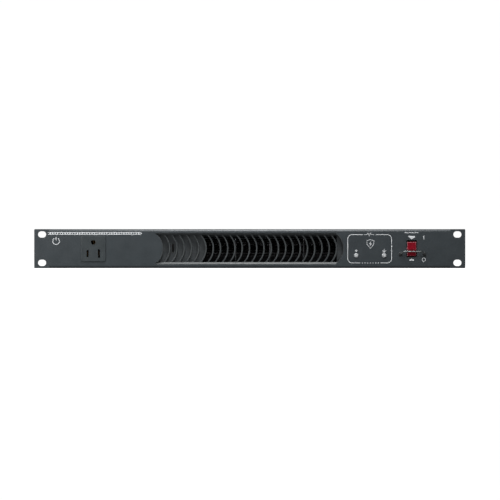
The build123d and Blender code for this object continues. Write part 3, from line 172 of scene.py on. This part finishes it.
# ---------------------------------------------------------------- materials
# Between these two, the bevelled and the true normal's dot product fades from face to edge.
FLAT_DOT = 0.995
EDGE_DOT = 0.85


def tinted(colour, factor, extra=0.0):
    """A colour multiplied by a factor, kept to 1 at most."""
    return tuple(min(1, c * factor + extra) for c in colour)


class Surface:
    """A node material that starts as a plain coat and gains detail one call at a time."""

    def __init__(self, name, colour, roughness, metallic=0.0):
        self.material = bpy.data.materials.new(name)
        self.material.use_nodes = True
        self.tree = self.material.node_tree
        self.shader = self.tree.nodes["Principled BSDF"]
        self.shader.inputs["Base Color"].default_value = (*colour, 1)
        self.shader.inputs["Roughness"].default_value = roughness
        self.shader.inputs["Metallic"].default_value = metallic
        self.colour = colour
        self.roughness = roughness
        self.colour_socket = None
        self.height_socket = None
        self.place = self.node("ShaderNodeTexCoord").outputs["Object"]

    def node(self, kind, **settings):
        made = self.tree.nodes.new(kind)
        for key, value in settings.items():
            setattr(made, key, value)
        return made

    def link(self, source, target):
        self.tree.links.new(source, target)

    def scaled(self, x, y, z):
        """The object's coordinates, multiplied along each axis."""
        mapping = self.node("ShaderNodeMapping")
        mapping.inputs["Scale"].default_value = (x, y, z)
        self.link(self.place, mapping.inputs["Vector"])
        return mapping.outputs["Vector"]

    def noise(self, scale, detail=3.0, stretch=None):
        texture = self.node("ShaderNodeTexNoise")
        set_inputs(texture, {"Scale": scale, "Detail": detail})
        self.link(self.scaled(*stretch) if stretch else self.place, texture.inputs["Vector"])
        return texture.outputs["Fac"]

    def ranged(self, value, low, high, to_low, to_high):
        """A value mapped from one range to another, clamped at both ends."""
        node = self.node("ShaderNodeMapRange")
        set_inputs(node, {"From Min": low, "From Max": high, "To Min": to_low, "To Max": to_high})
        self.link(value, node.inputs["Value"])
        return node.outputs["Result"]

    def mix_colour(self, factor, colour):
        """Lay another colour over what is there, by a factor."""
        mix = self.node("ShaderNodeMix", data_type="RGBA")
        self.link(factor, mix.inputs["Factor"])
        if self.colour_socket:
            self.link(self.colour_socket, mix.inputs["A"])
        else:
            mix.inputs["A"].default_value = (*self.colour, 1)
        mix.inputs["B"].default_value = (*colour, 1)
        self.colour_socket = mix.outputs["Result"]
        self.link(self.colour_socket, self.shader.inputs["Base Color"])
        return self

    def mottle(self, scale, other, amount=1.0, stretch=None):
        """Patches of another colour."""
        factor = self.ranged(self.noise(scale, 4.0, stretch), 0.35, 0.65, 0.0, amount)
        return self.mix_colour(factor, other)

    def rough(self, scale, spread, stretch=None):
        """Roughness that wanders by the spread to either side."""
        low, high = self.roughness - spread, self.roughness + spread
        value = self.ranged(self.noise(scale, 3.0, stretch), 0.3, 0.7, low, high)
        self.link(value, self.shader.inputs["Roughness"])
        return self

    def bump(self, height, depth, strength=1.0):
        """Relief from a height, added to any relief that is there."""
        node = self.node("ShaderNodeBump")
        set_inputs(node, {"Distance": depth, "Strength": strength})
        self.link(height, node.inputs["Height"])
        if self.height_socket:
            self.link(self.height_socket, node.inputs["Normal"])
        self.height_socket = node.outputs["Normal"]
        self.link(self.height_socket, self.shader.inputs["Normal"])
        return self

    def bands(self, axis, scale, distortion, depth, strength):
        """Relief of wavy bands across one axis."""
        wave = self.node("ShaderNodeTexWave", wave_type="BANDS", bands_direction=axis)
        set_inputs(wave, {"Scale": scale, "Distortion": distortion})
        self.link(self.place, wave.inputs["Vector"])
        return self.bump(wave.outputs["Fac"], depth, strength)

    def grain(self, scale, depth, strength=1.0, stretch=None):
        """Relief from fine noise."""
        return self.bump(self.noise(scale, 2.0, stretch), depth, strength)

    def edge_wear_and_highlight(self, colour, radius, amount):
        """A lighter rim along edges, broken up by noise: rubbed wear on most materials, a painted
        highlight on the rocker.
        """
        bevel = self.node("ShaderNodeBevel", samples=4)
        bevel.inputs["Radius"].default_value = radius
        geometry = self.node("ShaderNodeNewGeometry")
        dot = self.node("ShaderNodeVectorMath", operation="DOT_PRODUCT")
        self.link(bevel.outputs["Normal"], dot.inputs[0])
        self.link(geometry.outputs["Normal"], dot.inputs[1])
        rim = self.ranged(dot.outputs["Value"], FLAT_DOT, EDGE_DOT, 0.0, amount)
        breakup = self.ranged(self.noise(350, 3.0), 0.4, 0.6, 0.35, 1.0)
        times = self.node("ShaderNodeMath", operation="MULTIPLY")
        self.link(rim, times.inputs[0])
        self.link(breakup, times.inputs[1])
        return self.mix_colour(times.outputs["Value"], colour)

    def shine(self, **values):
        """Constants on the shader's own sockets."""
        for key, value in values.items():
            self.shader.inputs[key.replace("_", " ")].default_value = value
        return self


def powder_coat(name, colour, roughness, worn):
    """Finely textured baked paint on steel."""
    surface = Surface(name, colour, roughness)
    surface.mottle(60, tinted(colour, 1.18, 0.002), 0.6)
    surface.rough(90, 0.05)
    surface.grain(2600, 0.05 * MM, 0.35)
    surface.grain(700, 0.04 * MM, 0.2)
    return surface.edge_wear_and_highlight(worn, 0.35 * MM, 0.5)


def moulded(name, colour, roughness, grain_depth=0.02):
    """Satin plastic with a spark-eroded texture."""
    surface = Surface(name, colour, roughness)
    surface.mottle(150, tinted(colour, 1.25, 0.001), 0.5)
    surface.rough(220, 0.06)
    surface.grain(3200, grain_depth * MM, 0.3)
    return surface.edge_wear_and_highlight(tinted(colour, 2, 0.01), 0.2 * MM, 0.5)


def rolled_metal(name, colour, roughness, stretch):
    """Bare sheet with rolling lines along one axis."""
    surface = Surface(name, colour, roughness, 1.0)
    surface.mottle(40, tinted(colour, 0.82), 0.8, stretch)
    surface.rough(300, 0.08, stretch)
    surface.grain(900, 0.02 * MM, 0.25, stretch)
    return surface.edge_wear_and_highlight(tinted(colour, 1.2), 0.2 * MM, 0.6)


def zinc_plate():
    """Zinc with a faint crystal pattern and a yellowish cast in patches."""
    surface = Surface("zinc", (0.56, 0.57, 0.56), 0.32, 1.0)
    surface.mottle(420, (0.44, 0.47, 0.49), 0.7)
    surface.mottle(90, (0.6, 0.57, 0.47), 0.35)
    surface.rough(500, 0.08)
    return surface.grain(2500, 0.015 * MM, 0.3)


def guard_steel():
    """Dull plated wire with faint drawing lines."""
    surface = Surface("guard_steel", (0.2, 0.215, 0.215), 0.34, 1.0)
    surface.mottle(300, (0.15, 0.165, 0.165), 0.6)
    surface.rough(600, 0.06)
    return surface.grain(1800, 0.01 * MM, 0.2)


def brass_strip():
    """Stamped brass, tarnished in patches."""
    surface = Surface("brass", (0.46, 0.32, 0.15), 0.36, 1.0)
    surface.mottle(220, (0.24, 0.16, 0.08), 0.8)
    surface.rough(300, 0.1, (1, 6, 6))
    return surface.grain(1400, 0.02 * MM, 0.2, (1, 8, 8))


def lamination_stack():
    """Edges of thin steel plates, stacked along X."""
    surface = Surface("lamination", (0.2, 0.2, 0.21), 0.5, 1.0)
    surface.mottle(120, (0.16, 0.1, 0.07), 0.4)
    surface.bands("X", 320, 0.3, 0.1 * MM, 0.6)
    return surface.rough(300, 0.1)


def coil_tape():
    """Overlapping turns of insulating tape."""
    surface = Surface("coil_tape", (0.62, 0.5, 0.2), 0.38)
    surface.mottle(90, (0.5, 0.37, 0.12), 0.8)
    surface.bands("Z", 45, 1.2, 0.12 * MM, 0.5)
    return surface.rough(200, 0.08)


def circuit_board():
    """Solder mask over copper runs, seen as slightly raised paler bands."""
    surface = Surface("board", (0.03, 0.13, 0.06), 0.35)
    brick = surface.node("ShaderNodeTexBrick")
    set_inputs(brick, {"Scale": 160, "Mortar Size": 0.03})
    turned = surface.node("ShaderNodeMapping")
    turned.inputs["Rotation"].default_value = (math.radians(90), 0, 0)
    surface.link(surface.place, turned.inputs["Vector"])
    surface.link(turned.outputs["Vector"], brick.inputs["Vector"])
    surface.mix_colour(brick.outputs["Fac"], (0.05, 0.2, 0.09))
    surface.bump(brick.outputs["Fac"], 0.05 * MM, 0.4)
    return surface.rough(260, 0.06)


def dipped(name, colour):
    """Lumpy dipped epoxy."""
    surface = Surface(name, colour, 0.3)
    surface.mottle(180, tinted(colour, 0.7), 0.7)
    surface.rough(300, 0.08)
    return surface.grain(260, 0.15 * MM, 0.4)


def rocker_red():
    """Translucent red moulding with a polished face."""
    surface = Surface("rocker_red", (0.15, 0.0002, 0.0065), 0.34)
    surface.mottle(120, (0.19, 0.0004, 0.009), 0.8)
    surface.rough(260, 0.05)
    surface.grain(900, 0.01 * MM, 0.25)
    # The pale pink rim here is a painted highlight on the rocker's edges, standing in for light
    # caught by its rounded top edge.
    surface.edge_wear_and_highlight((0.6, 0.36, 0.4), 1.2 * MM, 1.0)
    return surface.shine(Specular_IOR_Level=0.2)


def lamp_lens():
    """Clear epoxy, slightly milky."""
    surface = Surface("lamp_lens", (0.77, 0.79, 0.8), 0.1)
    surface.mottle(300, (0.69, 0.71, 0.72), 0.6)
    surface.rough(500, 0.03)
    surface.grain(500, 0.01 * MM, 0.15)
    return surface.shine(Transmission_Weight=0.6, IOR=1.5)


def cup_silver():
    """Bright stamped metal of a lamp's reflector cup."""
    surface = Surface("cup_silver", (0.86, 0.87, 0.88), 0.22, 1.0)
    surface.mottle(900, (0.7, 0.71, 0.72), 0.6)
    surface.rough(1500, 0.06)
    return surface.grain(3000, 0.01 * MM, 0.3)


def impeller_metal(places):
    """Blackened strip blades between discs of bare metal, at places along X."""
    surface = Surface("impeller_metal", (0.012, 0.012, 0.013), 0.5, 0.6)
    surface.mottle(200, (0.02, 0.02, 0.022), 0.8)
    split = surface.node("ShaderNodeSeparateXYZ")
    surface.link(surface.place, split.inputs["Vector"])
    near = None
    for place, half in places:
        compare = surface.node("ShaderNodeMath", operation="COMPARE")
        surface.link(split.outputs["X"], compare.inputs[0])
        compare.inputs[1].default_value = place
        compare.inputs[2].default_value = half
        if near:
            largest = surface.node("ShaderNodeMath", operation="MAXIMUM")
            surface.link(near, largest.inputs[0])
            surface.link(compare.outputs["Value"], largest.inputs[1])
            near = largest.outputs["Value"]
        else:
            near = compare.outputs["Value"]
    surface.mix_colour(near, (0.32, 0.33, 0.34))
    surface.rough(300, 0.08)
    return surface.grain(800, 0.02 * MM, 0.3)


def printing_ink(name, brightness):
    """Slightly uneven screen-printed ink."""
    surface = Surface(name, (brightness, 1.03 * brightness, 1.05 * brightness), 0.5)
    surface.mottle(700, (0.75 * brightness, 0.78 * brightness, 0.8 * brightness), 0.6)
    surface.rough(600, 0.08)
    return surface.grain(2400, 0.02 * MM, 0.3)


DISC_COUNT = 5
DISC_T = 1.0 * MM
DISC_MARGIN = 0.1 * MM


def disc_places():
    """Middle and half thickness of each impeller disc, worked out from the impeller's box."""
    low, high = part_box("impeller")
    pitch = (high.x - low.x - DISC_T) / (DISC_COUNT - 1)
    return [(low.x + i * pitch + DISC_T / 2, DISC_T / 2 + DISC_MARGIN) for i in range(DISC_COUNT)]


def make_materials():
    """One finished material for each of the record's slots."""
    return {
        "panel_paint": powder_coat("panel_paint", (0.0255, 0.0325, 0.037), 0.42,
                                   (0.12, 0.13, 0.135)),
        "case_paint": powder_coat("case_paint", (0.018, 0.019, 0.02), 0.5, (0.1, 0.1, 0.1)),
        "guard_steel": guard_steel(),
        "grille_plastic": moulded("grille_plastic", (0.034, 0.039, 0.041), 0.42),
        "outlet_plastic": moulded("outlet_plastic", (0.026, 0.033, 0.036), 0.42),
        "block_plastic": moulded("block_plastic", (0.014, 0.014, 0.014), 0.45),
        "rubber": moulded("rubber", (0.014, 0.014, 0.014), 0.8, 0.05),
        "lead_jacket": moulded("lead_jacket", (0.02, 0.02, 0.022), 0.4),
        "baffle_steel": rolled_metal("baffle_steel", (0.155, 0.168, 0.176), 0.42, (1, 8, 8)),
        "shaft_steel": rolled_metal("shaft_steel", (0.6, 0.6, 0.6), 0.25, (12, 1, 1)),
        "impeller_metal": impeller_metal(disc_places()),
        "zinc": zinc_plate(),
        "brass": brass_strip(),
        "lamination": lamination_stack(),
        "coil_tape": coil_tape(),
        "board": circuit_board(),
        "varistor_coat": dipped("varistor_coat", (0.04, 0.1, 0.32)),
        "fuse_body": dipped("fuse_body", (0.6, 0.58, 0.5)),
        "rocker_red": rocker_red(),
        "lamp_lens": lamp_lens(),
    }


def dress_nodes(materials):
    """Give each CAD node its slot's finished material."""
    slots = {part["node"]: part["material_slot"] for part in frame["record"]["subparts"]}
    for name, piece in frame["nodes"].items():
        finished = materials[slots[name]].material
        for material_slot in piece.material_slots:
            material_slot.material = finished
        if not piece.material_slots:
            piece.data.materials.append(finished)


# ---------------------------------------------------------------- printed marks
# Places, widths and radii of the marks are in millimetres, X and Z on the front face.
INK_T = 0.05 * MM

OUTLINE_X = (109.7, 158.8)
OUTLINE_Z = (-16.0, 15.7)
OUTLINE_R = 5.0
OUTLINE_TOP_GAP = (126.4, 141.0)
OUTLINE_LOW_GAP = (123.6, 146.4)
OUTLINE_LINE = 0.7
SYMBOL_LINE = 0.5

TITLE_X = (-226.0, -121.5)
TITLE_Z = (16.0, 18.1)
TITLE_LINE = 0.6
TICK_PITCH = 2.75
TICK_INSET = 0.3
TICK_WIDE = 1.3
TICK_NARROW = 0.7

POWER_MARK_R = 3.7
POWER_MARK_LINE = 0.75


def finish_mesh(mesh, name, material):
    """A piece of the case from a finished bmesh."""
    bmesh.ops.recalc_face_normals(mesh, faces=mesh.faces)
    data = bpy.data.meshes.new(name)
    mesh.to_mesh(data)
    mesh.free()
    piece = bpy.data.objects.new(name, data)
    bpy.context.scene.collection.objects.link(piece)
    data.materials.append(material)
    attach(piece, "case")
    return piece


class Print:
    """Flat marks on the front face, gathered into one thin mesh."""

    def __init__(self, name):
        self.name = name
        self.mesh = bmesh.new()

    def area(self, points):
        """A filled convex outline with its thickness."""
        front = [self.mesh.verts.new((x * MM, FACE_Y - INK_T, z * MM)) for x, z in points]
        back = [self.mesh.verts.new((x * MM, FACE_Y, z * MM)) for x, z in points]
        self.mesh.faces.new(front)
        self.mesh.faces.new(back[::-1])
        for i in range(len(points)):
            j = (i + 1) % len(points)
            self.mesh.faces.new((front[j], front[i], back[i], back[j]))

    def stroke(self, points, width, closed=False):
        """A line of even width through the points."""
        lines = offset_line(points, width / 2, closed)
        count = len(points)
        last = count if closed else count - 1
        rows = []
        for left, right in zip(*lines):
            row = []
            for y in (FACE_Y - INK_T, FACE_Y):
                for x, z in (left, right):
                    row.append(self.mesh.verts.new((x * MM, y, z * MM)))
            rows.append(row)
        for i in range(last):
            a, b = rows[i], rows[(i + 1) % count]
            self.mesh.faces.new((a[0], a[1], b[1], b[0]))
            self.mesh.faces.new((a[2], b[2], b[3], a[3]))
            self.mesh.faces.new((a[0], b[0], b[2], a[2]))
            self.mesh.faces.new((a[1], a[3], b[3], b[1]))
        if not closed:
            for row in (rows[0], rows[-1]):
                self.mesh.faces.new((row[0], row[2], row[3], row[1]))

    def finish(self, material):
        return finish_mesh(self.mesh, self.name, material)


def offset_line(points, half, closed):
    """The two sides of a line of the given half width, mitred at its corners."""
    lefts, rights = [], []
    count = len(points)
    for i in range(count):
        here = Vector(points[i])
        before = Vector(points[i - 1]) if i or closed else None
        after = Vector(points[(i + 1) % count]) if i < count - 1 or closed else None
        normals = []
        for start, end in ((before, here), (here, after)):
            if start is not None and end is not None:
                run = (end - start).normalized()
                normals.append(Vector((-run.y, run.x)))
        normal = sum(normals, Vector((0, 0))).normalized()
        reach = half / max(0.3, normal.dot(normals[0]))
        lefts.append(tuple(here + normal * reach))
        rights.append(tuple(here - normal * reach))
    return lefts, rights


def arc(x, z, radius, start, end, steps=10):
    """Points along an arc, angles in degrees from +X."""
    angles = [math.radians(start + (end - start) * i / steps) for i in range(steps + 1)]
    return [(x + radius * math.cos(a), z + radius * math.sin(a)) for a in angles]


def surge_outline(material):
    """Rounded outline round the lamps, with a gap in its top and its bottom line."""
    marks = Print("print_outline")
    x0, x1 = OUTLINE_X
    z0, z1 = OUTLINE_Z
    r = OUTLINE_R
    left = arc(x0 + r, z1 - r, r, 90, 180) + arc(x0 + r, z0 + r, r, 180, 270)
    marks.stroke([(OUTLINE_TOP_GAP[0], z1)] + left + [(OUTLINE_LOW_GAP[0], z0)], OUTLINE_LINE)
    right = arc(x1 - r, z0 + r, r, 270, 360) + arc(x1 - r, z1 - r, r, 0, 90)
    marks.stroke([(OUTLINE_LOW_GAP[1], z0)] + right + [(OUTLINE_TOP_GAP[1], z1)], OUTLINE_LINE)
    return marks.finish(material)


def title_rule(material):
    """A plain ruled strip along the panel's top edge, with every fifth tick narrow."""
    marks = Print("print_title_rule")
    x0, x1 = TITLE_X
    low, high = TITLE_Z
    for z in (low, high):
        marks.stroke([(x0, z), (x1, z)], TITLE_LINE)
    for i in range(1, int((x1 - x0) / TICK_PITCH) + 1):
        x = x0 + i * TICK_PITCH
        width = TICK_WIDE if i % 5 else TICK_NARROW
        marks.stroke([(x, low + TICK_INSET), (x, high - TICK_INSET)], width)
    return marks.finish(material)


def power_mark(material):
    """The usual ring-and-bar power symbol."""
    marks = Print("print_power_mark")
    x, z = -216.8, 8.4
    marks.stroke(arc(x, z, POWER_MARK_R, 125, 415, 28), POWER_MARK_LINE)
    marks.stroke([(x, z + 0.6), (x, z + POWER_MARK_R + 0.9)], POWER_MARK_LINE)
    return marks.finish(material)


def shield_mark(material):
    """A small shield with a bolt in it, for surge protection."""
    marks = Print("print_shield_mark")
    x, z = 135.0, 5.4
    rim = [(x - 4, z + 3.4), (x, z + 4.8), (x + 4, z + 3.4), (x + 3.7, z - 0.6), (x, z - 5.2),
           (x - 3.7, z - 0.6)]
    marks.stroke(rim, SYMBOL_LINE, closed=True)
    marks.area([(x + 0.9, z + 2.9), (x - 1.8, z - 0.4), (x - 0.2, z - 0.2)])
    marks.area([(x - 0.9, z - 3.2), (x + 1.8, z + 0.4), (x + 0.2, z + 0.2)])
    return marks.finish(material)


def pulse_mark(material):
    """A pulse in the outline's top gap and dots in its bottom gap."""
    marks = Print("print_pulse_mark")
    z = OUTLINE_Z[1]
    marks.stroke([(128.0, z), (131.2, z), (132.2, z + 1.5), (133.7, z - 1.5), (135.2, z + 1.5),
                  (136.2, z), (139.4, z)], SYMBOL_LINE)
    for i in range(7):
        x = 126.0 + i * 3.0
        marks.area(arc(x, OUTLINE_Z[0], 0.55, 0, 330, 11))
    return marks.finish(material)


def lamp_marks(material):
    """A bolt over one lamp and the earth symbol over the other."""
    marks = Print("print_lamp_marks")
    z = -2.4
    (x_left, _), (x_right, _) = lamp_centres()
    marks.area([(x_left + 0.8, z + 2.0), (x_left - 1.7, z - 0.3), (x_left, z - 0.3)])
    marks.area([(x_left - 0.8, z - 2.0), (x_left + 1.7, z + 0.3), (x_left, z + 0.3)])
    marks.stroke([(x_right, z + 1.9), (x_right, z)], SYMBOL_LINE)
    for i, half in enumerate((2.2, 1.4, 0.6)):
        bar_z = z - i * 0.95
        marks.stroke([(x_right - half, bar_z), (x_right + half, bar_z)], SYMBOL_LINE)
    return marks.finish(material)


def lamp_centres():
    """X and Z of the two lamps, in millimetres."""
    centres = []
    for name in ("led_1", "led_2"):
        middle = (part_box(name)[0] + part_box(name)[1]) / 2
        centres.append((middle.x / MM, middle.z / MM))
    return centres


def switch_middle():
    """X of the breaker's middle, in millimetres."""
    low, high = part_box("switch_housing")
    return (low.x + high.x) / 2 / MM


def switch_arrows(material):
    """Arrowheads at the rocker's ends."""
    marks = Print("print_switch_arrows")
    x = switch_middle()
    marks.area([(x - 3.7, 14.3), (x - 3.7, 13.1), (x, 10.3), (x + 3.7, 13.1), (x + 3.7, 14.3)])
    marks.area([(x + 2.7, -13.4), (x + 2.7, -12.6), (x, -10.9), (x - 2.7, -12.6), (x - 2.7, -13.4)])
    return marks.finish(material)


def switch_labels(material):
    """A bar for on, a ring for off and a rule over the rocker."""
    marks = Print("print_switch_labels")
    x = switch_middle() + 13.5
    marks.stroke([(x, 14.3), (x, 10.3)], 0.9)
    marks.stroke(arc(x, -12.4, 1.9, 0, 345, 23), 0.7, closed=True)
    marks.stroke([(x - 21.5, 17.8), (x - 6.0, 17.8)], 0.6)
    return marks.finish(material)


# Radius and Y along a lamp cup's section, in millimetres, from its floor over its rim to its back.
CUP_PROFILE = [(0.0, 1.05), (0.75, 1.0), (1.75, -1.0), (1.9, -1.0), (0.95, 1.3), (0.0, 1.3)]
CUP_TURNS = 40
CHIP_SIZE = 0.55 * MM
CHIP_Y = 0.85
CHIP_BEVEL = 0.08 * MM


def lamp_cups(material):
    """The reflector cup and chip inside each lamp's lens."""
    for number, (x, z) in enumerate(lamp_centres()):
        mesh = bmesh.new()
        rings = []
        for radius, y in CUP_PROFILE:
            ring = []
            for i in range(CUP_TURNS if radius else 1):
                angle = math.radians(360) * i / CUP_TURNS
                place = (x + radius * math.cos(angle), y, z + radius * math.sin(angle))
                ring.append(mesh.verts.new(Vector(place) * MM))
            rings.append(ring)
        for low, high in zip(rings, rings[1:]):
            for i in range(CUP_TURNS):
                j = (i + 1) % CUP_TURNS
                corners = [low[i % len(low)], low[j % len(low)],
                           high[j % len(high)], high[i % len(high)]]
                mesh.faces.new(list(dict.fromkeys(corners)))
        chip = bmesh.ops.create_cube(mesh, size=CHIP_SIZE)["verts"]
        bmesh.ops.translate(mesh, verts=chip, vec=Vector((x, CHIP_Y, z)) * MM)
        edges = list(dict.fromkeys(edge for vert in chip for edge in vert.link_edges))
        bmesh.ops.bevel(mesh, geom=edges, offset=CHIP_BEVEL, segments=2, affect="EDGES")
        finish_mesh(mesh, "lamp_cup_" + str(number + 1), material)


def build_scene():
    bpy.context.scene.view_settings.view_transform = "Standard"
    make_camera()
    make_world()
    make_floor()
    make_area_light("softbox", (0.02, -0.3, 0.68), (0.02, 0.0, 0), 0.28, 0.8, 10.2)
    make_area_light("left_fill", (-0.62, -0.4, 0.15), (-0.27, 0, 0), 0.4, 0.4, 2.6)
    dress_nodes(make_materials())
    bold_ink = printing_ink("ink_bold", 0.62).material
    fine_ink = printing_ink("ink_fine", 0.64).material
    for draw in (title_rule, power_mark, switch_arrows):
        draw(bold_ink)
    for draw in (surge_outline, shield_mark, pulse_mark, lamp_marks, switch_labels):
        draw(fine_ink)
    lamp_cups(cup_silver().material)


build_scene()
